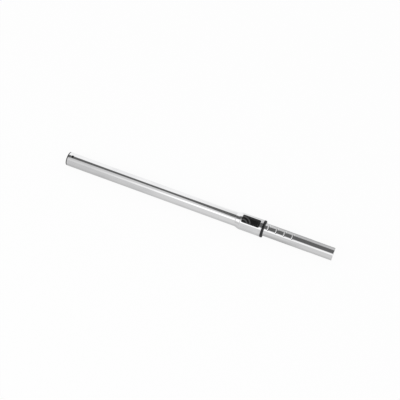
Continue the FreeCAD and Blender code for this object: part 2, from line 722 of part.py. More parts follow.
def make_latch_carriage():
    """Curved plastic slide under the housing wall, with two cheeks that hold the cam slots."""
    body = new_body("latch_carriage")
    section = new_sketch(body, "plate_outline", "YZ_Plane", CARRIAGE_LEFT)
    draw_arch(section, PLATE_R, PLATE_TOP, PLATE_HALF)
    pad(body, "plate", section, f"{CARRIAGE_RIGHT} - {CARRIAGE_LEFT}")
    for side, sign in (("far", ""), ("near", "-")):
        cheek = new_sketch(body, f"cheek_{side}_outline", "XY_Plane", CHEEK_FOOT)
        draw_rectangle(cheek, CHEEK_LEFT, CHEEK_RIGHT, f"{sign}{CHEEK_INNER}", f"{sign}{CHEEK_OUTER}")
        pad(body, f"cheek_{side}", cheek, f"{CHEEK_HEAD} - {CHEEK_FOOT}")
    cut_cam_slots(body)
    slot = new_sketch(body, "spring_slot_outline", "XY_Plane")
    draw_rectangle(
        slot, SPRING_SLOT_LEFT, SPRING_SLOT_RIGHT, f"-{SPRING_SLOT_HALF}", SPRING_SLOT_HALF
    )
    pocket(body, "spring_slot", slot, HOUSING_OD)
    for i, x in enumerate(PEG_STATIONS):
        for side, sign in (("far", ""), ("near", "-")):
            hole = new_sketch(body, f"peg_hole_{side}_{i}_outline", "XY_Plane")
            draw_circle(hole, x, f"{sign}{PEG_Y}", f"{PEG_R} + size.fit_clearance")
            pocket(body, f"peg_hole_{side}_{i}", hole, HOUSING_OD)
    return body


def make_button_cap():
    """The button without its ridges: a low crown with round corners, pegged to the carriage."""
    body = new_body("button_cap")
    section = new_sketch(body, "crown_outline", "YZ_Plane", BUTTON_LEFT)
    draw_arch(section, BUTTON_UNDER, BUTTON_TOP, BUTTON_HALF, top_radius="size.button_top_radius")
    pad(body, "crown", section, f"{BUTTON_RIGHT} - {BUTTON_LEFT}")
    plan = new_sketch(body, "plan_outline", "XY_Plane")
    draw_rounded_rectangle(
        plan, BUTTON_LEFT, BUTTON_RIGHT, f"-{BUTTON_HALF}", BUTTON_HALF, "size.button_corner"
    )
    margin = "size.button_margin"
    outside = f"({BUTTON_HALF} + {margin})"
    draw_rectangle(
        plan, f"{BUTTON_LEFT} - {margin}", f"{BUTTON_RIGHT} + {margin}", f"-{outside}", outside
    )
    pocket(body, "plan_trim", plan, HOUSING_OD)
    crown = number("size.button_top_radius")
    top = next(
        face
        for face in body.Tip.Shape.Faces
        if isinstance(face.Surface, Part.Cylinder) and abs(face.Surface.Radius - crown) < MATCH
    )
    round_edges(
        body,
        "rim",
        "size.button_edge_round",
        lambda edge: any(edge.isSame(other) for other in top.Edges),
    )
    cut_cam_slots(body)
    slot = new_sketch(body, "spring_slot_outline", "XY_Plane")
    draw_rectangle(
        slot, SPRING_SLOT_LEFT, SPRING_SLOT_RIGHT, f"-{SPRING_SLOT_HALF}", SPRING_SLOT_HALF
    )
    pocket(body, "spring_slot", slot, SPRING_CEILING)
    for i, x in enumerate(PEG_STATIONS):
        for side, sign in (("far", ""), ("near", "-")):
            peg = new_sketch(body, f"peg_{side}_{i}_outline", "XY_Plane", PEG_FOOT)
            draw_circle(peg, x, f"{sign}{PEG_Y}", PEG_R)
            pad(body, f"peg_{side}_{i}", peg, f"{BUTTON_UNDER} - {PEG_FOOT}")
    return body


def make_ridge_layer():
    """A thin layer on the button's crown, inside its rounded rim, from which the ridges are cut."""
    body = new_body("ridge_layer")
    inset = "(size.button_edge_round + size.ridge_inset)"
    section = new_sketch(body, "layer_outline", "YZ_Plane", f"{BUTTON_LEFT} + {inset}")
    raised = f"({BUTTON_TOP} + size.ridge_height)"
    under = f"({BUTTON_TOP} - size.fit_clearance)"
    crown = "size.button_top_radius"
    draw_arch(section, under, raised, f"({BUTTON_HALF} - {inset})", crown, crown)
    pad(body, "layer", section, f"{BUTTON_RIGHT} - {BUTTON_LEFT} - 2 * {inset}")
    return body


def make_thumb_button():
    """Black button in the window, with nested arc ridges for the thumb at its hose end."""
    layer = make_ridge_layer()
    shapes = [make_button_cap()]
    for i in range(int(number("size.ridge_count"))):
        middle = f"(size.ridge_first_radius + {i} * size.ridge_pitch)"
        rounds = []
        for side, sign in (("outside", "+"), ("inside", "-")):
            disc = doc.addObject("Part::Cylinder", f"ridge_{i}_{side}")
            disc.setExpression("Radius", f"{middle} {sign} size.ridge_width / 2")
            disc.setExpression("Height", HOUSING_OD)
            disc.setExpression("Placement.Base.x", f"{BUTTON_LEFT} + size.ridge_centre_along")
            disc.setExpression("Placement.Base.y", "-size.ridge_centre_aside")
            rounds.append(disc)
        band = doc.addObject("Part::Cut", f"ridge_{i}_band")
        band.Base, band.Tool = rounds
        ridge = doc.addObject("Part::Common", f"ridge_{i}")
        ridge.Base = layer
        ridge.Tool = band
        shapes.append(ridge)
    button = doc.addObject("Part::MultiFuse", "thumb_button")
    button.Label = "thumb_button"
    button.Shapes = shapes
    return button


def make_return_spring():
    """Coil spring between the sleeve's post and the end of the carriage's slot."""
    body = new_body("return_spring")
    wire = "(size.spring_wire / 2)"
    length = f"({POST_LEFT} - {SPRING_SLOT_LEFT} - 2 * size.fit_clearance)"
    section = new_sketch(body, "wire_outline", "XZ_Plane")
    draw_circle(section, f"{SPRING_R} - {wire}", wire, wire)
    coil = body.newObject("PartDesign::AdditiveHelix", "coil")
    coil.Profile = section
    coil.ReferenceAxis = (section, ["V_Axis"])
    coil.Mode = "height-turns-angle"
    coil.setExpression("Height", f"{length} - size.spring_wire")
    coil.setExpression("Turns", "size.spring_turns")
    body.Placement = Placement(Vector(), Rotation(Vector(0, 1, 0), 90))
    body.setExpression("Placement.Base.x", f"{SPRING_SLOT_LEFT} + size.fit_clearance")
    body.setExpression("Placement.Base.z", SPRING_Z)
    doc.recompute()
    return body


def check_document(pieces):
    """Stop if an object of the document failed or a sub-part is not one sound solid."""
    for item in doc.Objects:
        if "Invalid" in item.State or "Error" in item.State:
            raise RuntimeError(f"{item.Label} is {item.State}")
    for piece in pieces:
        shape = piece.Shape
        if shape.isNull() or not shape.isValid() or len(shape.Solids) != 1:
            raise RuntimeError(f"{piece.Label} is not one valid solid")


def main():
    """Build every sub-part, check them and write one STEP file each."""
    fill_sheet()
    pieces = [
        make_outer_tube(),
        make_hose_end_bush(),
        make_inner_tube(),
        make_tail_ring(),
        make_guide_sleeve(),
        make_mouth_collar(),
        make_wiper_seal(),
        make_lock_pin(),
        make_latch_carriage(),
        make_thumb_button(),
        make_return_spring(),
    ]
    doc.recompute()
    check_document(pieces)
    os.makedirs("parts", exist_ok=True)
    for piece in pieces:
        piece.Shape.exportStep(f"parts/{piece.Label}.step")
        box = piece.Shape.BoundBox
        print(f"{piece.Label}: {piece.Shape.Volume:.1f} mm3, x {box.XMin:.2f} to {box.XMax:.2f}")


main()
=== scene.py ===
"""Dress a telescopic vacuum wand: chrome tubes, black latch button and collar, in a white studio."""

import json
import logging
import math
from collections.abc import Callable
from dataclasses import dataclass
from enum import Enum

import bmesh
import bpy
import numpy as np
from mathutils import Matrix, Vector


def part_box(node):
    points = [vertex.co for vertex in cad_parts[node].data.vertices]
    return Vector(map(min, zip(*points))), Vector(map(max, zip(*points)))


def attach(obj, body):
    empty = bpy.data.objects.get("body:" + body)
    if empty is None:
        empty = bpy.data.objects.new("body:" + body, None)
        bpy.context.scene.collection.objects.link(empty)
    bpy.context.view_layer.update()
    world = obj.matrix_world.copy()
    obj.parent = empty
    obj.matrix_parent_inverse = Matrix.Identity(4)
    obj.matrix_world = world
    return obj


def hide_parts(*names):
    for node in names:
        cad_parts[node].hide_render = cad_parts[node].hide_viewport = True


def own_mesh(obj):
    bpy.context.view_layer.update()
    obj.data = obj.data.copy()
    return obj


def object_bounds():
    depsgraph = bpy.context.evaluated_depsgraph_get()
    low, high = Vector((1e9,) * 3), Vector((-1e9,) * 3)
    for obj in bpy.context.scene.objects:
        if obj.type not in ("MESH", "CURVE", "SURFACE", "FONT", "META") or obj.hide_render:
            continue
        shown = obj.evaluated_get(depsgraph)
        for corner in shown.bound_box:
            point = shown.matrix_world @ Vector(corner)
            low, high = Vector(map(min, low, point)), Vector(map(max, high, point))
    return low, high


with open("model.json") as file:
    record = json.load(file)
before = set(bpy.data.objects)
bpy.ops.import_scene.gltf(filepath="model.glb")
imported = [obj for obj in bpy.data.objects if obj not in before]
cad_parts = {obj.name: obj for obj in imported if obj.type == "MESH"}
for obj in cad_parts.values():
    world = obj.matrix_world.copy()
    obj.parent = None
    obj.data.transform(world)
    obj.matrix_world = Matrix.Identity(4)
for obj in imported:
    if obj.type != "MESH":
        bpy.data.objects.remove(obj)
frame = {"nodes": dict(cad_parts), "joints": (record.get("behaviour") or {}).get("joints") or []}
CAD_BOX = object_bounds()

LOG = logging.getLogger("wand")
MM = 0.001
MICRON_DIGITS = 3

# Degrees between the points of a revolved ring, of a rounding wider than WIDE_BEND millimetres
# and of a tighter one.
TURN_STEP = 1.5
WIDE_STEP = 1.5
TIGHT_STEP = 9.0
WIDE_BEND = 5.0

# Indices of a colour Mix node's sockets.
MIX_SHARE = 0
MIX_FIRST = 6
MIX_SECOND = 7
MIX_RESULT = 2

Piece = bpy.types.Object
Material = bpy.types.Material
Span = tuple[float, float]
Triple = tuple[float, float, float]
Colour = Triple
Corner = Triple
Plan = Callable[[float], np.ndarray]
Settings = dict[str, object]
Inputs = dict[str | int, object]


class Body(Enum):
    """The bodies that pieces of this script ride on."""

    OUTER = "outer"
    INNER = "inner"
    THUMB = "thumb"


class Slot(Enum):
    """The record's material slots that pieces of this script take."""

    CHROME = "chromed_steel"
    BLACK = "black_plastic"
    SPRING = "spring_steel"


class Axis(Enum):
    """The frame's axes."""

    ALONG = 0
    ACROSS = 1
    UP = 2


def reach(node: str, axis: Axis) -> Span:
    """The lowest and highest place of a solid of the frame along an axis, in millimetres."""
    low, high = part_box(node)
    return low[axis.value] / MM, high[axis.value] / MM


def travel(joint: str) -> float:
    """The length of a joint's range in millimetres."""
    low, high = next(row["range_m"] for row in frame["joints"] if row["name"] == joint)
    return (high - low) / MM


class Signal:
    """A shader socket that takes part in Python sums, each of which adds a Math node."""

    def __init__(self, bench: "Bench", socket: bpy.types.NodeSocket) -> None:
        """Keep the socket and the bench that its node stands on."""
        self.bench = bench
        self.socket = socket

    def outlet(self, name: str) -> "Signal":
        """Another outlet of the same node."""
        return Signal(self.bench, self.socket.node.outputs[name])

    def _sum(self, operation: str, first: object, second: object) -> "Signal":
        """A Math node's result for two signals or numbers."""
        return self.bench.add("ShaderNodeMath", {"operation": operation}, {0: first, 1: second})

    def __add__(self, other: object) -> "Signal":
        """Self plus other."""
        return self._sum("ADD", self, other)

    def __radd__(self, other: object) -> "Signal":
        """Other plus self."""
        return self._sum("ADD", other, self)

    def __sub__(self, other: object) -> "Signal":
        """Self minus other."""
        return self._sum("SUBTRACT", self, other)

    def __rsub__(self, other: object) -> "Signal":
        """Other minus self."""
        return self._sum("SUBTRACT", other, self)

    def __mul__(self, other: object) -> "Signal":
        """Self times other."""
        return self._sum("MULTIPLY", self, other)

    def __rmul__(self, other: object) -> "Signal":
        """Other times self."""
        return self._sum("MULTIPLY", other, self)

    def __truediv__(self, other: object) -> "Signal":
        """Self over other."""
        return self._sum("DIVIDE", self, other)

    def __rtruediv__(self, other: object) -> "Signal":
        """Other over self."""
        return self._sum("DIVIDE", other, self)

    def __abs__(self) -> "Signal":
        """Self without its sign."""
        return self.bench.add("ShaderNodeMath", {"operation": "ABSOLUTE"}, {0: self})

    def between(self, low: float, high: float) -> "Signal":
        """Self, mapped by a smooth step so that low gives 0 and high gives 1."""
        sockets = {"Value": self, "From Min": low, "From Max": high}
        return self.bench.add("ShaderNodeMapRange", {"interpolation_type": "SMOOTHSTEP"}, sockets)


class Bench:
    """A node tree, and the one way to put nodes on it."""

    def __init__(self, tree: bpy.types.NodeTree) -> None:
        """Take over a tree and clear it."""
        self.tree = tree
        tree.nodes.clear()

    @classmethod
    def for_material(cls, name: str) -> tuple[Material, "Bench"]:
        """A new material with an empty tree.

        Args:
            name: The material's name.

        Returns:
            The material and its bench.
        """
        material = bpy.data.materials.new(name)
        material.use_nodes = True
        return material, cls(material.node_tree)

    def add(
        self,
        kind: str,
        settings: Settings | None = None,
        sockets: Inputs | None = None,
        outlet: str | int = 0,
    ) -> Signal:
        """Put a node on the bench.

        Args:
            kind: The node's type.
            settings: Properties of the node, set first.
            sockets: Values or signals for its inlets, by name or index.
            outlet: The outlet to return.

        Returns:
            The outlet as a signal, or the first inlet of a node without outlets.
        """
        node = self.tree.nodes.new(kind)
        for name, value in (settings or {}).items():
            setattr(node, name, value)
        for name, value in (sockets or {}).items():
            inlet = node.inputs[name]
            if isinstance(value, Signal):
                self.tree.links.new(value.socket, inlet)
            else:
                inlet.default_value = value
        return Signal(self, node.outputs[outlet]) if len(node.outputs) else Signal(self, node.inputs[0])

    def vector(self, operation: str, first: Signal, second: Triple) -> Signal:
        """A Vector Math node between a signal and a constant."""
        return self.add("ShaderNodeVectorMath", {"operation": operation}, {0: first, 1: second})

    def place(self, stretch: Triple = (1.0, 1.0, 1.0)) -> Signal:
        """The point on the piece in metres, stretched along each axis for a pattern."""
        return self.vector("MULTIPLY", self.add("ShaderNodeTexCoord", outlet="Object"), stretch)

    def noise(self, point: Signal, waves: float, octaves: float = 2.0) -> Signal:
        """Smooth noise from 0 to 1, with so many waves per unit of the point."""
        sockets = {"Vector": point, "Scale": waves, "Detail": octaves}
        return self.add("ShaderNodeTexNoise", {}, sockets, "Fac")

    def blend(self, share: Signal, first: Colour, second: Colour) -> Signal:
        """A colour between two linear ones: a share of 0 gives the first, 1 the second."""
        sockets = {MIX_SHARE: share, MIX_FIRST: (*first, 1.0), MIX_SECOND: (*second, 1.0)}
        return self.add("ShaderNodeMix", {"data_type": "RGBA"}, sockets, MIX_RESULT)

    def bump(self, height: Signal, depth: float) -> Signal:
        """A normal bumped by a height, which is scaled by a depth in metres."""
        return self.add("ShaderNodeBump", {}, {"Height": height, "Distance": depth, "Strength": 1.0})

    def surface(self, sockets: Inputs) -> None:
        """End the tree in a Principled shader with these values and signals."""
        shader = self.add("ShaderNodeBsdfPrincipled", {}, sockets)
        self.add("ShaderNodeOutputMaterial", {}, {"Surface": shader})


@dataclass(frozen=True)
class ChromePlate:
    """Bright chrome on drawn steel tube, with faint drawing marks and handling haze."""

    name: str = "chrome_plate"
    bright: Colour = (0.865, 0.865, 0.87)
    dull: Colour = (0.785, 0.785, 0.795)
    polish: float = 0.045
    haze: float = 0.05
    mark_waves: Triple = (9.0, 2600.0, 2600.0)
    mark_octaves: float = 3.0
    mark_rough: float = 0.02
    mark_depth: float = 4e-7
    smear_waves: Triple = (14.0, 45.0, 45.0)
    smear_octaves: float = 4.0
    smear_range: Span = (0.45, 0.75)

    def material(self) -> Material:
        """Make the material.

        Returns:
            The finished material.
        """
        material, bench = Bench.for_material(self.name)
        marks = bench.noise(bench.place(self.mark_waves), 1.0, self.mark_octaves)
        smears = bench.noise(bench.place(self.smear_waves), 1.0, self.smear_octaves)
        smears = smears.between(*self.smear_range)
        bench.surface({
            "Base Color": bench.blend(smears, self.bright, self.dull),
            "Metallic": 1.0,
            "Roughness": self.polish + smears * self.haze + marks * self.mark_rough,
            "Normal": bench.bump(marks, self.mark_depth),
        })
        return material


@dataclass(frozen=True)
class Moulding:
    """Moulded plastic or rubber with a fine grain and cloudy wear."""

    name: str
    colour: Colour
    worn: Colour
    gloss: float
    grain_waves: float = 5200.0
    grain_rough: float = 0.06
    grain_depth: float = 1.2e-5
    cloud_waves: float = 130.0
    cloud_octaves: float = 4.0
    cloud_rough: float = 0.1
    wear_range: Span = (0.35, 0.8)

    def material(self) -> Material:
        """Make the material.

        Returns:
            The finished material.
        """
        material, bench = Bench.for_material(self.name)
        point = bench.place()
        grain = bench.noise(point, self.grain_waves)
        cloud = bench.noise(point, self.cloud_waves, self.cloud_octaves)
        bench.surface({
            "Base Color": bench.blend(cloud.between(*self.wear_range), self.colour, self.worn),
            "Roughness": self.gloss + cloud * self.cloud_rough + grain * self.grain_rough,
            "Normal": bench.bump(grain, self.grain_depth),
        })
        return material


@dataclass(frozen=True)
class RidgedMoulding:
    """Polished black moulding whose arc ridges, of one centre, have a dull grained top with painted sheen:
    a lighter grey colour.
    """

    name: str
    colour: Colour
    # The ridge tops' colour: partly their matte grain, partly painted sheen.
    dull: Colour
    gloss: float
    dull_gloss: float
    centre: Triple
    radii: tuple[float, ...]
    half_width: float
    soft: float = 0.0011
    grain_waves: float = 4200.0
    grain_depth: float = 1.2e-5
    polished_grain: float = 0.2
    cloud_waves: float = 160.0
    cloud_octaves: float = 4.0
    cloud_rough: float = 0.06
    cloud_share: Span = (0.75, 1.25)

    def material(self) -> Material:
        """Make the material.

        Returns:
            The finished material.
        """
        material, bench = Bench.for_material(self.name)
        point = bench.place()
        flat = bench.vector("MULTIPLY", bench.vector("SUBTRACT", point, self.centre), (1.0, 1.0, 0.0))
        away = bench.add("ShaderNodeVectorMath", {"operation": "LENGTH"}, {0: flat}, "Value")
        inside = [self.half_width - abs(away - radius) for radius in self.radii]
        ridges = sum(depth.between(0.0, self.soft) for depth in inside)
        grain = bench.noise(point, self.grain_waves)
        cloud = bench.noise(point, self.cloud_waves, self.cloud_octaves)
        least, most = self.cloud_share
        bench.surface({
            # The ridges' lighter grey is painted sheen over their real, rougher grained tops.
            "Base Color": bench.blend(ridges * (least + cloud * (most - least)), self.colour, self.dull),
            "Roughness": self.gloss + ridges * (self.dull_gloss - self.gloss) + cloud * self.cloud_rough,
            "Normal": bench.bump(grain * (self.polished_grain + ridges), self.grain_depth),
        })
        return material


@dataclass(frozen=True)
class BareSteel:
    """Bright steel, turned or drawn."""

    name: str
    colour: Colour
    polish: float
    line_waves: Triple
    line_octaves: float = 3.0
    line_rough: float = 0.12
    line_depth: float = 2e-6
    dark_share: float = 0.8

    def material(self) -> Material:
        """Make the material.

        Returns:
            The finished material.
        """
        material, bench = Bench.for_material(self.name)
        lines = bench.noise(bench.place(self.line_waves), 1.0, self.line_octaves)
        dark = tuple(self.dark_share * part for part in self.colour)
        bench.surface({
            "Base Color": bench.blend(lines, self.colour, dark),
            "Metallic": 1.0,
            "Roughness": self.polish + lines * self.line_rough,
            "Normal": bench.bump(lines, self.line_depth),
        })
        return material


@dataclass(frozen=True)
class Palette:
    """The wand's finishes, as materials."""

    chrome: Material
    black: Material
    bearing: Material
    natural: Material
    rubber: Material
    pin: Material
    spring: Material

    @classmethod
    def mixed(cls) -> "Palette":
        """Make each material once.

        Returns:
            The filled palette.
        """
        finishes = {
            "chrome": ChromePlate(),
            "black": Moulding("black_moulding", (0.007, 0.007, 0.008), (0.011, 0.011, 0.012), 0.3),
            "bearing": Moulding("bearing_moulding", (0.016, 0.016, 0.018), (0.026, 0.026, 0.028), 0.42),
            "natural": Moulding("natural_moulding", (0.66, 0.65, 0.61), (0.6, 0.59, 0.55), 0.38),
            "rubber": Moulding("wiper_rubber", (0.014, 0.014, 0.014), (0.022, 0.022, 0.022), 0.62),
            "pin": BareSteel("turned_pin", (0.56, 0.56, 0.58), 0.2, (60.0, 4200.0, 60.0)),
            "spring": BareSteel("spring_wire", (0.45, 0.45, 0.47), 0.26, (900.0, 900.0, 900.0)),
        }
        return cls(**{name: finish.material() for name, finish in finishes.items()})


def dress(node: str, material: Material) -> Piece:
    """Give a solid of the frame its finish.

    Args:
        node: The solid's name.
        material: The finish.

    Returns:
        The solid's object.
    """
    obj = frame["nodes"][node]
    obj.data.materials.clear()
    obj.data.materials.append(material)
    return obj


def seat(piece: Piece, body: Body, node: str) -> Piece:
    """Let a piece ride on a body in place of a solid of the frame.

    Args:
        piece: The piece.
        body: The body that it rides on.
        node: The solid that it stands for.

    Returns:
        The piece.
    """
    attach(piece, body.value)
    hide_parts(node)
    return piece


def evenly(start: float, end: float, step: float) -> np.ndarray:
    """Places from start to end, both among them, a step apart."""
    return np.linspace(start, end, round((end - start) / step) + 1)


def circle(along: float, radius: float, turns: np.ndarray) -> np.ndarray:
    """A ring about the wand's axis, with its points at these turns from the top."""
    return np.stack([np.full_like(turns, along), radius * np.sin(turns), radius * np.cos(turns)], 1)


@dataclass
class Skin:
    """A closed mesh, made of rings of points in millimetres, one point per row."""

    rings: list[np.ndarray]

    @classmethod
    def turned(cls, corners: list[Corner]) -> "Skin":
        """A closed profile of corners with place, radius and rounding, turned about the wand's axis."""
        turns = np.radians(np.arange(0.0, 360.0, TURN_STEP))
        return cls([circle(along, radius, turns) for along, radius in rounded(corners)])

    def mesh(self, name: str, capped: bool) -> bpy.types.Mesh:
        """Join the rings into a mesh whose faces look outwards.

        Args:
            name: The mesh's name.
            capped: Close both ends with a face; otherwise the last ring joins the first.

        Returns:
            The new mesh.
        """
        count, around = len(self.rings), len(self.rings[0])
        points = np.concatenate(self.rings) * MM
        rows = np.arange(count - 1 if capped else count)
        here = rows[:, None] * around + np.arange(around)
        over = ((rows + 1) % count)[:, None] * around + np.arange(around)
        quads = np.stack([here, np.roll(here, -1, 1), np.roll(over, -1, 1), over], -1)
        faces = quads.reshape(-1, 4).tolist()
        if capped:
            faces.append(list(range(around))[::-1])
            faces.append(list(range((count - 1) * around, count * around)))
        mesh = bpy.data.meshes.new(name)
        mesh.from_pydata(points.tolist(), [], faces)
        shell = bmesh.new()
        shell.from_mesh(mesh)
        bmesh.ops.recalc_face_normals(shell, faces=shell.faces)
        shell.to_mesh(mesh)
        shell.free()
        return mesh

    def cut(self, obj: Piece) -> None:
        """Cut this skin's room, with its ends capped, out of a piece.

        Args:
            obj: The piece, whose mesh is replaced.
        """
        tool = bpy.data.objects.new("cutter", self.mesh("cutter", True))
        bpy.context.scene.collection.objects.link(tool)
        cut = obj.modifiers.new("cut", "BOOLEAN")
        cut.operation = "DIFFERENCE"
        cut.solver = "EXACT"
        cut.object = tool
        whole = obj.evaluated_get(bpy.context.evaluated_depsgraph_get())
        pierced = bpy.data.meshes.new_from_object(whole)
        obj.modifiers.clear()
        bpy.data.meshes.remove(tool.data)
        old, obj.data = obj.data, pierced
        bpy.data.meshes.remove(old)

    def piece(
        self,
        name: str,
        material: Material,
        sharp: float = 35.0,
        capped: bool = False,
        cutters: tuple["Skin", ...] = (),
    ) -> Piece:
        """Make the piece.

        Args:
            name: The piece's name.
            material: Its finish.
            sharp: The angle in degrees from which an edge stays crisp.
            capped: Close both ends with a face; otherwise the last ring joins the first.
            cutters: Capped skins whose room is cut out of the piece.

        Returns:
            The new object, linked to the scene.
        """
        obj = bpy.data.objects.new(name, self.mesh(name, capped))
        bpy.context.scene.collection.objects.link(obj)
        for cutter in cutters:
            cutter.cut(obj)
        obj.data.name = name
        obj.data.shade_smooth()
        obj.data.set_sharp_from_angle(angle=math.radians(sharp))
        obj.data.materials.clear()
        obj.data.materials.append(material)
        return obj


def rounded(corners: list[Corner]) -> list[np.ndarray]:
    """A closed profile with its corners rounded.

    Args:
        corners: Place along, radius and rounding of each corner, in order.

    Returns:
        The profile's points.
    """
    points = []
    for index, (along, radius, bend) in enumerate(corners):
        here = np.array([along, radius])
        ways = [np.array(corners[(index + side) % len(corners)][:2]) - here for side in (-1, 1)]
        back, on = (way / np.linalg.norm(way) for way in ways)
        half = math.acos(np.clip(back @ on, -1.0, 1.0)) / 2
        setback = bend / math.tan(half)
        step = WIDE_STEP if bend > WIDE_BEND else TIGHT_STEP
        steps = math.ceil(math.degrees(math.pi - 2 * half) / step) if bend else 0
        middle = back + on
        centre = here + middle / np.linalg.norm(middle) * bend / math.sin(half) if bend else here
        first, last = here + back * setback - centre, here + on * setback - centre
        for share in np.linspace(0.0, 1.0, steps + 1):
            spoke = first * (1.0 - share) + last * share
            scale = bend / np.linalg.norm(spoke) if bend else 1.0
            points.append(centre + spoke * scale)
    return points


def level(outline: np.ndarray, height: float | np.ndarray) -> np.ndarray:
    """A plan's points, at one height or at a height each."""
    return np.column_stack([outline, np.full(len(outline), height)])


def prism(outline: np.ndarray, low: float, high: float) -> Skin:
    """An upright cutter with this plan, from its foot's height to its head's."""
    return Skin([level(outline, height) for height in (low, high)])


def soft_least(first: np.ndarray, second: np.ndarray, bend: float) -> np.ndarray:
    """The lesser of two heights, with the corner rounded where they are closer than bend."""
    share = np.clip(0.5 + 0.5 * (second - first) / bend, 0.0, 1.0)
    return second * (1 - share) + first * share - bend * share * (1 - share)


@dataclass
class InnerTube:
    """The sliding tube: pressed notches on top, a guide groove below and a plain end.

    Names that end in "before" are distances from its floor-head end. Fans are half angles in degrees, in
    which a ring's points lie closer together.
    """

    tail: float = reach("inner_tube", Axis.ALONG)[0]
    end: float = reach("inner_tube", Axis.ALONG)[1]
    radius: float = reach("inner_tube", Axis.UP)[1]
    wall: float = 0.8
    cone_before: float = 58.0
    spigot_before: float = 55.0
    spigot_step: float = 0.25
    last_notch_before: float = 103.2
    notch_count: int = 19
    notch_radius: float = 1.9
    notch_depth: float = 1.8
    notch_flare: float = 55.0
    notch_shoulder: float = 0.8
    groove_radius: float = 2.2
    groove_depth: float = 1.2
    groove_shoulder: float = 0.35
    groove_before: float = 78.0
    groove_fade: float = 2.0
    notch_fan: float = 36.0
    notch_turn: float = 1.2
    groove_fan: float = 12.0
    groove_turn: float = 1.5
    flank_turn: float = 6.0
    slope_step: float = 0.2
    slope_end: float = 2.6
    shoulder_rings: Triple = (2.85, 3.2, 3.9)
    inside_step: float = 1.3
    fade_step: float = 0.5
    fade_margin: float = 1.0
    lip_lean: float = 20.0
    crisp: float = 40.0

    def __post_init__(self) -> None:
        """Work out the places along the tube."""
        self.last_notch = self.end - self.last_notch_before
        self.notch_pitch = travel("telescope") / (self.notch_count - 1)
        self.groove_end = self.end - self.groove_before
        self.cone_from = self.end - self.cone_before
        self.spigot_from = self.end - self.spigot_before
        self.spigot_radius = self.radius - self.spigot_step

    def turns(self) -> np.ndarray:
        """The angles of a ring's points, closer together at the notches and the groove.

        Returns:
            The angles from the top, in order.
        """
        notch = evenly(-self.notch_fan, self.notch_fan, self.notch_turn)
        groove = evenly(180.0 - self.groove_fan, 180.0 + self.groove_fan, self.groove_turn)
        flank = evenly(notch[-1] + self.flank_turn, groove[0] - self.flank_turn, self.flank_turn)
        return np.radians(np.concatenate([notch, flank, groove, 360.0 - flank[::-1]]))

    def stations(self, offsets: np.ndarray) -> np.ndarray:
        """Places of the rings along the tube.

        Args:
            offsets: The rings' places about each notch.

        Returns:
            The places in order.
        """
        notches = self.last_notch - self.notch_pitch * np.arange(self.notch_count)
        near = (notches[:, None] + offsets).ravel()
        fade_from = self.groove_end - self.groove_fade - self.fade_margin
        fade = evenly(fade_from, self.groove_end + self.fade_margin, self.fade_step)
        plain = np.array([self.tail, self.cone_from, self.spigot_from, self.end - self.wall / 2])
        return np.unique(np.round(np.concatenate([plain, near, fade]), MICRON_DIGITS))

    def ring(self, along: float, sink: float) -> np.ndarray:
        """One ring of the outside or, sunk by the wall, of the inside.

        Args:
            along: The ring's place.
            sink: How far it lies under the outside.

        Returns:
            The ring's points.
        """
        share = np.clip((along - self.cone_from) / (self.spigot_from - self.cone_from), 0.0, 1.0)
        radius = self.radius + share * (self.spigot_radius - self.radius) - sink
        turns = self.turns()
        across, height = radius * np.sin(turns), radius * np.cos(turns)
        floor = np.full_like(height, self.notch_floor(along, sink))
        height = soft_least(height, floor, self.notch_shoulder)
        groove = self.groove_radius + sink
        middle = -(self.radius - self.groove_depth + self.groove_radius)
        lift = middle + np.sqrt(np.clip(groove ** 2 - across ** 2, 0.0, None))
        lifted = -soft_least(-height, -lift, self.groove_shoulder)
        fade = np.clip((self.groove_end - along) / self.groove_fade, 0.0, 1.0)
        inside = (np.abs(across) < groove) & (height < 0.0)
        height = np.where(inside, height + fade * (lifted - height), height)
        return np.stack([np.full_like(turns, along), across, height], 1)

    def notch_floor(self, along: float, sink: float) -> float:
        """How high a pressed notch lets the wall stand.

        Args:
            along: A place along the tube.
            sink: How far the skin lies under the outside.

        Returns:
            The greatest height there.
        """
        index = np.clip(round((self.last_notch - along) / self.notch_pitch), 0, self.notch_count - 1)
        away = abs(along - (self.last_notch - index * self.notch_pitch))
        radius = self.notch_radius + sink
        turn = math.radians(self.notch_flare)
        knee = radius * math.sin(turn)
        centre = self.radius - self.notch_depth + self.notch_radius
        dip = math.sqrt(radius ** 2 - min(away, knee) ** 2)
        return centre - dip + max(away - knee, 0.0) * math.tan(turn)

    def build(self, palette: Palette) -> list[Piece]:
        """Make the tube's skin and dress its slide ring.

        Args:
            palette: The finishes.

        Returns:
            The pieces.
        """
        slope = evenly(self.slope_step, self.slope_end, self.slope_step)
        side = np.concatenate([slope, self.shoulder_rings])
        outside = self.stations(np.concatenate([-side[::-1], [0.0], side]))
        rings = [self.ring(along, 0.0) for along in outside]
        half = self.wall / 2
        for lean in np.radians(evenly(self.lip_lean, 180.0 - self.lip_lean, self.lip_lean)):
            along = self.end - half + half * math.sin(lean)
            rings.append(circle(along, self.spigot_radius - half + half * math.cos(lean), self.turns()))
        inside = self.stations(evenly(-side[-1], side[-1], self.inside_step))
        rings += [self.ring(along, self.wall) for along in inside[::-1]]
        tube = Skin(rings).piece("inner_tube_skin", palette.chrome, self.crisp)
        return [seat(tube, Body.INNER, "inner_tube"), dress("tail_ring", palette.natural)]


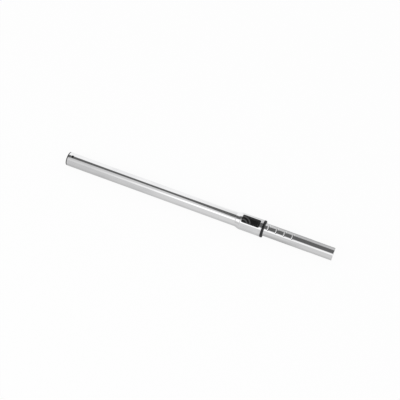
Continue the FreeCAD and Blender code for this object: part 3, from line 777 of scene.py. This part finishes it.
@dataclass
class ThumbLatch:
    """The thumb button, the carriage under it and the pin that they lift."""

    left: float = reach("thumb_button", Axis.ALONG)[0]
    right: float = reach("thumb_button", Axis.ALONG)[1]
    half: float = reach("thumb_button", Axis.ACROSS)[1]
    corner: float = 3.0
    crown_radius: float = 30.0
    edge_round: float = 1.0
    under_radius: float = 19.8
    ridge_along: float = 5.0
    ridge_aside: float = 13.5
    ridge_radii: tuple[float, ...] = (10.0, 17.6)
    ridge_half: float = 1.8
    ridge_height: float = 0.5
    ridge_inset: float = 2.0
    ridge_power: float = 2.4
    pin_gap: float = 0.2
    lift_gap: float = 0.15
    pin_half: float = 7.4
    journal_step: float = 0.75
    post_length: float = 2.0
    spring_half: float = 1.35
    spring_gap: float = 0.1
    section_step: float = 0.25
    end_sections: int = 25
    face_points: int = 121

    def __post_init__(self) -> None:
        """Work out the crown and the rooms that the pin and the spring need under it."""
        self.top = reach("thumb_button", Axis.UP)[1] - self.ridge_height
        pin_left, pin_right = reach("lock_pin", Axis.ALONG)
        self.pin_room = (pin_left - travel("thumb_release") - self.pin_gap, pin_right + self.pin_gap)
        self.pin_ceiling = reach("lock_pin", Axis.UP)[1] + travel("pin_lift") + self.lift_gap
        self.journal_half = reach("lock_pin", Axis.ACROSS)[1] + self.lift_gap
        self.journal_ceiling = self.pin_ceiling - self.journal_step
        spring_left, spring_right = reach("return_spring", Axis.ALONG)
        self.spring_room = (spring_left - self.pin_gap, spring_right + self.post_length)
        self.spring_ceiling = reach("return_spring", Axis.UP)[1] + self.spring_gap

    def inset(self, along: float, across: np.ndarray) -> np.ndarray:
        """How far points lie inside the button's plan.

        Args:
            along: Their place along the wand.
            across: Their places across it.

        Returns:
            The distances to the nearest edge.
        """
        past_x = abs(along - (self.left + self.right) / 2) - ((self.right - self.left) / 2 - self.corner)
        past_y = np.abs(across) - (self.half - self.corner)
        outside = np.hypot(np.maximum(past_x, 0.0), np.maximum(past_y, 0.0))
        return self.corner - outside - np.minimum(np.maximum(past_x, past_y), 0.0)

    def crown(self, along: float, across: np.ndarray) -> np.ndarray:
        """Heights of the button's face, with its round rim and ridges.

        Args:
            along: A place along the wand.
            across: Places across it.

        Returns:
            The heights there.
        """
        height = self.top - self.crown_radius + np.sqrt(self.crown_radius ** 2 - across ** 2)
        depth = np.clip(self.inset(along, across), 0.0, None)
        lacking = np.clip(self.edge_round - depth, 0.0, None)
        height = height - self.edge_round + np.sqrt(self.edge_round ** 2 - lacking ** 2)
        away = np.hypot(along - self.left - self.ridge_along, across + self.ridge_aside)
        allowed = np.clip((depth - self.ridge_inset) / self.ridge_height + 1.0, 0.0, 1.0)
        for radius in self.ridge_radii:
            share = np.clip(np.abs(away - radius) / self.ridge_half, 0.0, 1.0)
            height = height + self.ridge_height * allowed * (1.0 - share ** self.ridge_power)
        return height

    def underside(self, along: float, across: np.ndarray) -> np.ndarray:
        """Heights of the button's underside, with room for the pin and the spring.

        Args:
            along: A place along the wand.
            across: Places across it.

        Returns:
            The heights there.
        """
        height = np.sqrt(self.under_radius ** 2 - across ** 2)
        for (start, end), half, ceiling in (
            (self.pin_room, self.journal_half, self.journal_ceiling),
            (self.pin_room, self.pin_half, self.pin_ceiling),
            (self.spring_room, self.spring_half, self.spring_ceiling),
        ):
            if start < along < end:
                height = np.where(np.abs(across) < half, np.maximum(height, ceiling), height)
        return height

    def stations(self) -> np.ndarray:
        """Places of the button's cross-sections, closer together at its ends.

        Returns:
            The places in order.
        """
        bend = self.corner * (1.0 - np.cos(np.linspace(0.0, math.pi / 2, self.end_sections)))
        step = self.section_step
        middle = np.arange(self.left + self.corner + step, self.right - self.corner, step)
        return np.concatenate([self.left + bend, middle, self.right - bend[::-1]])

    def button(self) -> Piece:
        """Make the button.

        Returns:
            The button's object.
        """
        finish = RidgedMoulding(
            name="button_moulding",
            colour=(0.008, 0.008, 0.0083),
            # Lighter grey on the ridge tops: painted sheen, along with their matte grain.
            dull=(0.066, 0.066, 0.067),
            gloss=0.16,
            dull_gloss=0.5,
            centre=((self.left + self.ridge_along) * MM, -self.ridge_aside * MM, 0.0),
            radii=tuple(radius * MM for radius in self.ridge_radii),
            half_width=self.ridge_half * MM,
        )
        rings = []
        spread = np.sin(np.linspace(-math.pi / 2, math.pi / 2, self.face_points))
        for along in self.stations():
            past = max(self.corner - min(along - self.left, self.right - along), 0.0)
            span = self.half - self.corner + math.sqrt(max(self.corner ** 2 - past ** 2, 0.0))
            across = span * spread
            low = across[::-2]
            points = [(along, y, z) for y, z in zip(across, self.crown(along, across))]
            points += [(along, y, z) for y, z in zip(low, self.underside(along, low))]
            rings.append(np.array(points))
        return Skin(rings).piece("thumb_button_cap", finish.material(), capped=True)

    def build(self, palette: Palette) -> list[Piece]:
        """Make the button and dress what it works on."""
        button = seat(self.button(), Body.THUMB, "thumb_button")
        return [button, dress("latch_carriage", palette.bearing), dress("lock_pin", palette.pin)]


@dataclass
class OuterTube:
    """The outer tube with its housing, and the guide sleeve that the housing holds."""

    start: float = reach("outer_tube", Axis.ALONG)[0]
    mouth: float = reach("outer_tube", Axis.ALONG)[1]
    housing_radius: float = reach("outer_tube", Axis.UP)[1]
    swage: float = 3.3
    wall: float = 0.8
    neck_before: float = 64.5
    neck_length: float = 9.0
    neck_round: float = 16.0
    edge_round: float = 0.2
    window_gap: float = 0.3
    window_side_gap: float = 0.4
    window_corner: float = 2.6
    lug_before: float = 30.0
    lug_length: float = 8.2
    lug_width: float = 5.2
    catch_at: float = 13.4
    catch_radius: float = 3.75
    catch_turn: float = 5.0
    rolled_edge: float = 0.2
    rolled_leans: tuple[float, ...] = (0.0, 20.0, 40.0, 60.0, 80.0)
    edge_land: float = 0.6
    cut_from: float = 10.0
    cut_to: float = 30.0

    def __post_init__(self) -> None:
        """Work out the narrow stretch's radius, and the window from the button that slides in it."""
        self.radius = self.housing_radius - self.swage
        left, right = reach("thumb_button", Axis.ALONG)
        self.window = (left - self.window_gap, right + travel("thumb_release") + self.window_gap)
        self.window_half = reach("thumb_button", Axis.ACROSS)[1] + self.window_side_gap

    def profile(self) -> list[Corner]:
        """The wall's profile, from the hose end along the outside and back along the inside.

        Returns:
            The profile's corners in order.
        """
        foot, wall = self.mouth - self.neck_before, self.wall
        head = foot + self.neck_length
        shift = wall * math.tan(math.atan(self.swage / self.neck_length) / 2)
        bend, wide_bend = self.neck_round, self.neck_round + wall
        land = self.catch_radius + self.edge_land
        return [
            (self.start, self.radius, self.edge_round),
            (self.catch_at - land, self.radius, 0.0),
            (self.catch_at + land, self.radius, 0.0),
            (foot, self.radius, bend),
            (head, self.housing_radius, wide_bend),
            (self.window[1] + self.edge_land, self.housing_radius, 0.0),
            (self.mouth, self.housing_radius, self.edge_round),
            (self.mouth, self.housing_radius - wall, self.edge_round),
            (head + shift, self.housing_radius - wall, bend),
            (foot + shift, self.radius - wall, wide_bend),
            (self.start, self.radius - wall, self.edge_round),
        ]

    def catch_plan(self, wider: float) -> np.ndarray:
        """The plan of the round hole near the hose end.

        Args:
            wider: How far the plan lies outside the hole's wall.

        Returns:
            The plan's points.
        """
        turns = np.radians(np.arange(0.0, 360.0, self.catch_turn))
        radius = self.catch_radius + wider
        return np.column_stack([self.catch_at + radius * np.cos(turns), radius * np.sin(turns)])

    def window_plan(self, wider: float) -> np.ndarray:
        """The plan of the button's window, spread by so much on all sides."""
        return self.rectangle(self.window, self.window_half, self.window_corner, wider)

    @staticmethod
    def rectangle(ends: Span, half: float, corner: float, wider: float) -> np.ndarray:
        """A rectangular plan with round corners.

        Args:
            ends: Where it starts and ends along the wand.
            half: Its half width.
            corner: The rounding of its corners.
            wider: How far the plan is spread on all sides.

        Returns:
            The plan's points.
        """
        left, right = ends[0] - wider, ends[1] + wider
        half, bend = half + wider, corner + wider
        corners = [(left, -half), (right, -half), (right, half), (left, half)]
        return np.array(rounded([(along, across, bend) for along, across in corners]))

    def opening(self, plan: Plan, radius: float) -> Skin:
        """A cutter that leaves a rolled edge round an opening.

        Args:
            plan: The opening's plan, by how far it is spread.
            radius: The tube's outside radius there.

        Returns:
            The cutter's skin.
        """
        rings = [level(plan(0.0), self.cut_from)]
        for lean in np.radians(self.rolled_leans):
            outline = plan(self.rolled_edge * (1.0 - math.cos(lean)))
            surface = np.sqrt(radius ** 2 - outline[:, 1] ** 2)
            rings.append(level(outline, surface - self.rolled_edge * (1.0 - math.sin(lean))))
        return Skin([*rings, level(outline, self.cut_to)])

    def build(self, palette: Palette) -> list[Piece]:
        """Make the tube and dress its sleeve.

        Args:
            palette: The finishes.

        Returns:
            The pieces.
        """
        lug_middle = self.mouth - self.lug_before
        lug_ends = (lug_middle - self.lug_length / 2, lug_middle + self.lug_length / 2)
        lug_hole = self.rectangle(lug_ends, self.lug_width / 2, self.edge_round, 0.0)
        cutters = (
            self.opening(self.window_plan, self.housing_radius),
            self.opening(self.catch_plan, self.radius),
            prism(lug_hole, -self.cut_to, -self.cut_from),
        )
        tube = Skin.turned(self.profile()).piece("outer_tube_skin", palette.chrome, cutters=cutters)
        return [seat(tube, Body.OUTER, "outer_tube"), dress("guide_sleeve", palette.bearing)]


@dataclass
class HoseEnd:
    """The bush whose rim closes the hose end."""

    rim: float = reach("outer_tube", Axis.ALONG)[0]
    length: float = reach("hose_end_bush", Axis.ALONG)[1]
    rim_radius: float = reach("hose_end_bush", Axis.UP)[1]
    seat_radius: float = 16.65
    bore: float = 16.1
    rim_round: float = 0.8
    lead: float = 0.3

    def build(self, palette: Palette) -> list[Piece]:
        """Make the bush.

        Args:
            palette: The finishes.

        Returns:
            The piece.
        """
        skin = Skin.turned([
            (0.0, self.rim_radius, self.rim_round),
            (self.rim, self.rim_radius, 0.0),
            (self.rim, self.seat_radius, 0.0),
            (self.length, self.seat_radius, self.lead / 2),
            (self.length, self.bore, self.lead / 2),
            (0.0, self.bore, self.lead),
        ])
        tube = OuterTube()
        hole = prism(tube.catch_plan(0.0), tube.cut_from, tube.cut_to)
        bush = skin.piece("hose_end_bush_skin", palette.black, cutters=(hole,))
        return [seat(bush, Body.OUTER, "hose_end_bush")]


@dataclass
class MouthCollar:
    """The bead at the housing's mouth and the wiper that it holds."""

    back: float = reach("mouth_collar", Axis.ALONG)[0]
    front: float = reach("mouth_collar", Axis.ALONG)[1]
    bead_radius: float = reach("mouth_collar", Axis.UP)[1]
    mouth: float = reach("outer_tube", Axis.ALONG)[1]
    wiper_gap: float = 0.1
    spigot_radius: float = 19.9
    lip_radius: float = 16.5
    back_round: float = 0.5
    front_round: float = 1.9
    lip_round: float = 0.8

    def build(self, palette: Palette) -> list[Piece]:
        """Make the bead and dress its wiper.

        Args:
            palette: The finishes.

        Returns:
            The pieces.
        """
        step = reach("wiper_seal", Axis.ALONG)[1] + self.wiper_gap
        seat_radius = reach("wiper_seal", Axis.UP)[1] + self.wiper_gap
        skin = Skin.turned([
            (self.back, self.spigot_radius, 0.0),
            (self.mouth, self.spigot_radius, 0.0),
            (self.mouth, self.bead_radius, self.back_round),
            (self.front, self.bead_radius, self.front_round),
            (self.front, self.lip_radius, self.lip_round),
            (step, self.lip_radius, 0.0),
            (step, seat_radius, 0.0),
            (self.back, seat_radius, 0.0),
        ])
        bead = skin.piece("mouth_collar_bead", palette.black)
        return [seat(bead, Body.OUTER, "mouth_collar"), dress("wiper_seal", palette.rubber)]


@dataclass
class ReturnSpring:
    """The coil that pushes the button back."""

    start: float = reach("return_spring", Axis.ALONG)[0]
    end: float = reach("return_spring", Axis.ALONG)[1]
    foot: float = reach("return_spring", Axis.UP)[0]
    radius: float = 0.825
    wire: float = 0.175
    turns: float = 6.0
    steps: int = 24
    sides: int = 10
    crisp: float = 60.0

    def build(self, palette: Palette) -> list[Piece]:
        """Make the coil.

        Args:
            palette: The finishes.

        Returns:
            The piece.
        """
        rings = []
        height = self.foot + self.radius + self.wire
        first, last = self.start + self.wire, self.end - self.wire
        round_wire = np.radians(np.arange(self.sides) * 360.0 / self.sides)
        along = np.array([1.0, 0.0, 0.0])
        for share in np.linspace(0.0, 1.0, int(self.turns * self.steps) + 1):
            turn = math.tau * self.turns * share
            out = np.array([0.0, math.cos(turn), math.sin(turn)])
            middle = np.array([first + (last - first) * share, 0.0, height]) + self.radius * out
            spokes = np.outer(np.cos(round_wire), out) + np.outer(np.sin(round_wire), along)
            rings.append(middle + self.wire * spokes)
        coil = Skin(rings).piece("return_spring_coil", palette.spring, self.crisp, capped=True)
        seat(coil, Body.OUTER, "return_spring")
        anchor = (self.end * MM, 0.0, height * MM)
        keep = 1.0 - travel("thumb_release") / (self.end - self.start)
        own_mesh(coil)
        return [coil]


@dataclass
class Studio:
    """White floor, soft light all round, and what metal mirrors: a dark strip overhead and a window.

    Turns are angles in degrees about the wand's axis, from the camera's side over the top. Names that end
    in "at" are places on the floor in metres, and those in "way" are the x of the mirrored direction. Pairs
    of glows or turns hold for the wand's hose end and its floor-head end, and near_glow has the housing's
    between them.
    """

    floor_z: float = CAD_BOX[0].z
    floor_half: float = 6.0
    floor_paint: float = 0.86
    shadow_share: float = 0.06
    soft_light: float = 0.8

    near_glow: Triple = (0.64, 0.735, 0.69)
    rise_at: Span = (0.0, 0.3)
    rise_way: Span = (-0.32, -0.19)
    mouth_at: Span = (0.5, 0.52)
    mouth_way: Span = (-0.102, -0.092)
    contact_shade: float = 0.12
    contact_at: Span = (-0.1, -0.02)
    collar_shade: float = 0.11
    shade_end_at: Span = (0.575, 0.605)
    streaks: float = 0.12
    streak_turn: float = 14.0
    streak_rate: float = 1.6

    far_glow: Span = (1.04, 0.58)
    far_way: Span = (-0.2, -0.05)
    far_floor: Span = (1.04, 0.47)
    far_at: Span = (0.4, 0.56)
    behind_at: Span = (0.0, 0.02)

    dark_glow: float = 0.135
    dark_from: Span = (94.0, 71.0)
    dark_to: Span = (125.0, 139.0)
    dark_edge: float = 6.0
    narrow_way: float = -0.22
    narrow_reach: Span = (-0.28, 0.16)
    end_way: Span = (-0.76, -0.88)
    end_spread: float = 50.0
    open_way: Span = (0.42, 0.58)
    open_glow: float = 1.4

    window_glow: Span = (0.72, 1.32)
    window_way: Span = (-0.32, -0.16)
    window_fall: float = 0.24
    fall_way: Span = (-0.12, -0.04)
    window_turn: float = 52.0
    window_half: float = 18.0
    side_way: Span = (-0.39, -0.49)
    side_growth: float = 0.6
    side_strip: float = 0.55

    lamp_sides: Span = (1.6, 0.9)
    lamp_power: float = 9.0
    lamp_place: Triple = (-0.3, -1.5, 1.5)
    lamp_aim: Triple = (0.36, 0.0, 0.0)

    @staticmethod
    def between(share: Signal, ends: Span) -> Signal:
        """A value between those of the wand's two ends: a share of 0 gives the hose end's."""
        return ends[0] + share * (ends[1] - ends[0])

    def beside(self, risen: Signal, past_mouth: Signal) -> Signal:
        """The plain glow on the camera's side; risen is 1 at the housing, past_mouth past its mouth."""
        hose_end, housing, floor_head = self.near_glow
        return hose_end + risen * (housing - hose_end) + past_mouth * (floor_head - housing)

    @staticmethod
    def rays(bench: Bench) -> tuple[Signal, Signal]:
        """Signals that are 1 for the camera's rays, straight or through glass, and for mirrored rays."""
        seen = bench.add("ShaderNodeLightPath", outlet="Is Camera Ray")
        return seen + seen.outlet("Is Transmission Ray"), seen.outlet("Is Glossy Ray")

    def floor_in_metal(self, bench: Bench) -> Signal:
        """How bright the floor is in the chrome.

        Args:
            bench: The floor's node tree.

        Returns:
            The glow at each place.
        """
        along = bench.add("ShaderNodeSeparateXYZ", {}, {"Vector": bench.place()}, "X")
        across = along.outlet("Y")
        past_mouth = along.between(*self.mouth_at)
        shade = self.collar_shade * past_mouth * (1.0 - along.between(*self.shade_end_at))
        near = self.beside(along.between(*self.rise_at), past_mouth) - shade
        near = near - self.contact_shade * across.between(*self.contact_at)
        far = self.between(along.between(*self.far_at), self.far_floor)
        return near + across.between(*self.behind_at) * (far - near)

    def lay_floor(self) -> None:
        """Make the floor, which the camera sees as white with a soft shadow."""
        half = self.floor_half
        corners = [(-half, -half), (half, -half), (half, half), (-half, half)]
        mesh = bpy.data.meshes.new("floor")
        mesh.from_pydata([(x, y, self.floor_z) for x, y in corners], [], [(0, 1, 2, 3)])
        floor = bpy.data.objects.new("floor", mesh)
        bpy.context.scene.collection.objects.link(floor)
        material, bench = Bench.for_material("floor_paint")
        clear, metal = self.rays(bench)
        paint = bench.add("ShaderNodeBsdfDiffuse", {}, {"Color": (self.floor_paint,) * 3 + (1.0,)})
        glow = bench.add("ShaderNodeEmission", {}, {"Color": clear + metal * self.floor_in_metal(bench)})
        share = (clear + metal) * (1.0 - self.shadow_share)
        mixed = bench.add("ShaderNodeMixShader", {}, {0: share, 1: paint, 2: glow})
        bench.add("ShaderNodeOutputMaterial", {}, {"Surface": mixed})
        mesh.materials.append(material)

    def near_in_metal(self, bench: Bench, way: Signal, turn: Signal, aside: Signal) -> Signal:
        """How bright the camera's side of the room, with its window, is in the chrome.

        Args:
            bench: The world's node tree.
            way: The x of the mirrored direction.
            turn: The direction's turn about the wand's axis.
            aside: 1 far towards the hose end, where the window is wider, and 0 elsewhere.

        Returns:
            The glow in each direction.
        """
        bands = {"X": turn / self.streak_turn, "Y": way * self.streak_rate}
        streaks = bench.noise(bench.add("ShaderNodeCombineXYZ", {}, bands), 1.0)
        calm = self.beside(way.between(*self.rise_way), way.between(*self.mouth_way))
        calm = calm * (1.0 - self.streaks / 2 + self.streaks * streaks)
        bright = self.between(way.between(*self.window_way), self.window_glow)
        bright = bright - self.window_fall * way.between(*self.fall_way)
        bright = bright + aside * (self.window_glow[1] - bright)
        half = self.window_half * (1.0 + aside * self.side_growth)
        off_middle = (turn - self.window_turn) / half
        window = (1.0 - off_middle * off_middle).between(0.0, 1.0)
        return calm + window * (bright - calm)

    def room_in_metal(self, bench: Bench) -> Signal:
        """How bright the room is in the chrome.

        Args:
            bench: The world's node tree.

        Returns:
            The glow in each direction.
        """
        direction = bench.add("ShaderNodeTexCoord", outlet="Generated")
        way = bench.add("ShaderNodeSeparateXYZ", {}, {"Vector": direction}, "X")
        up, towards = way.outlet("Z"), 0.0 - way.outlet("Y")
        angle = bench.add("ShaderNodeMath", {"operation": "ARCTAN2"}, {0: up, 1: towards})
        turn = angle * math.degrees(1.0)
        aside = way.between(*self.side_way)
        near = self.near_in_metal(bench, way, turn, aside)
        dark = self.dark_glow + way.between(*self.open_way) * (self.open_glow - self.dark_glow)
        far = self.between(way.between(*self.far_way), self.far_glow)
        drift = way - self.narrow_way
        wide = drift.between(0.0, self.narrow_reach[0]) + drift.between(0.0, self.narrow_reach[1])
        wide = wide * (1.0 - aside * (1.0 - self.side_strip))
        spread = self.end_spread * way.between(*self.end_way)
        half = self.dark_edge / 2
        entered = (turn + spread - self.between(wide, self.dark_from)).between(-half, half)
        left = (turn - spread - self.between(wide, self.dark_to)).between(-half, half)
        return near + entered * (dark - near) + left * (far - dark)

    def light_world(self) -> None:
        """Light the wand from all round; the camera sees white and metal sees the room."""
        world = bpy.data.worlds.new("studio")
        bpy.context.scene.world = world
        world.use_nodes = True
        bench = Bench(world.node_tree)
        clear, metal = self.rays(bench)
        plain = self.soft_light * (1.0 - metal - clear)
        colour = plain + clear + metal * self.room_in_metal(bench)
        glow = bench.add("ShaderNodeBackground", {}, {"Color": colour})
        bench.add("ShaderNodeOutputWorld", {}, {"Surface": glow})

    def hang_lamp(self) -> None:
        """One large soft lamp beside the camera, for the black mouldings' modelling."""
        light = bpy.data.lights.new("softbox", "AREA")
        light.shape = "RECTANGLE"
        light.size, light.size_y = self.lamp_sides
        light.energy = self.lamp_power
        lamp = bpy.data.objects.new("softbox", light)
        bpy.context.scene.collection.objects.link(lamp)
        lamp.location = self.lamp_place
        aim = Vector(self.lamp_aim) - lamp.location
        lamp.rotation_euler = aim.to_track_quat("-Z", "Y").to_euler()
        lamp.visible_glossy = False

    def build(self) -> None:
        """Make floor, light and colour management."""
        bpy.context.scene.view_settings.view_transform = "Standard"
        self.lay_floor()
        self.light_world()
        self.hang_lamp()


@dataclass
class Viewpoint:
    """The camera, at the photograph's angle."""

    lens: float = 81.0
    sensor: float = 36.0
    azimuth: float = 22.03
    elevation: float = 63.17
    distance: float = 2.18795
    aside: float = -0.00561
    above: float = 0.01663
    middle: float = 0.36

    def build(self) -> None:
        """Place the camera and make it the scene's."""
        turn, rise = math.radians(self.azimuth), math.radians(self.elevation)
        back = Vector((math.sin(turn) * math.cos(rise), -math.cos(turn) * math.cos(rise), math.sin(rise)))
        right = Vector((math.cos(turn), math.sin(turn), 0.0))
        data = bpy.data.cameras.new("camera")
        data.lens = self.lens
        data.sensor_width = self.sensor
        camera = bpy.data.objects.new("camera", data)
        bpy.context.scene.collection.objects.link(camera)
        offset = back * self.distance + right * self.aside + back.cross(right) * self.above
        camera.location = Vector((self.middle, 0.0, 0.0)) + offset
        camera.rotation_euler = (-back).to_track_quat("-Z", "Y").to_euler()
        bpy.context.scene.camera = camera


def main() -> None:
    """Build the wand's pieces in order and report each, then make the studio and the camera."""
    logging.basicConfig(level=logging.INFO, format="%(name)s: %(message)s")
    palette = Palette.mixed()
    for part in (OuterTube(), HoseEnd(), InnerTube(), MouthCollar(), ThumbLatch(), ReturnSpring()):
        for piece in part.build(palette):
            LOG.info("%s: %s, %d faces", type(part).__name__, piece.name, len(piece.data.polygons))
    Studio().build()
    Viewpoint().build()
    LOG.info("studio and camera ready")


if __name__ == "__main__":
    main()
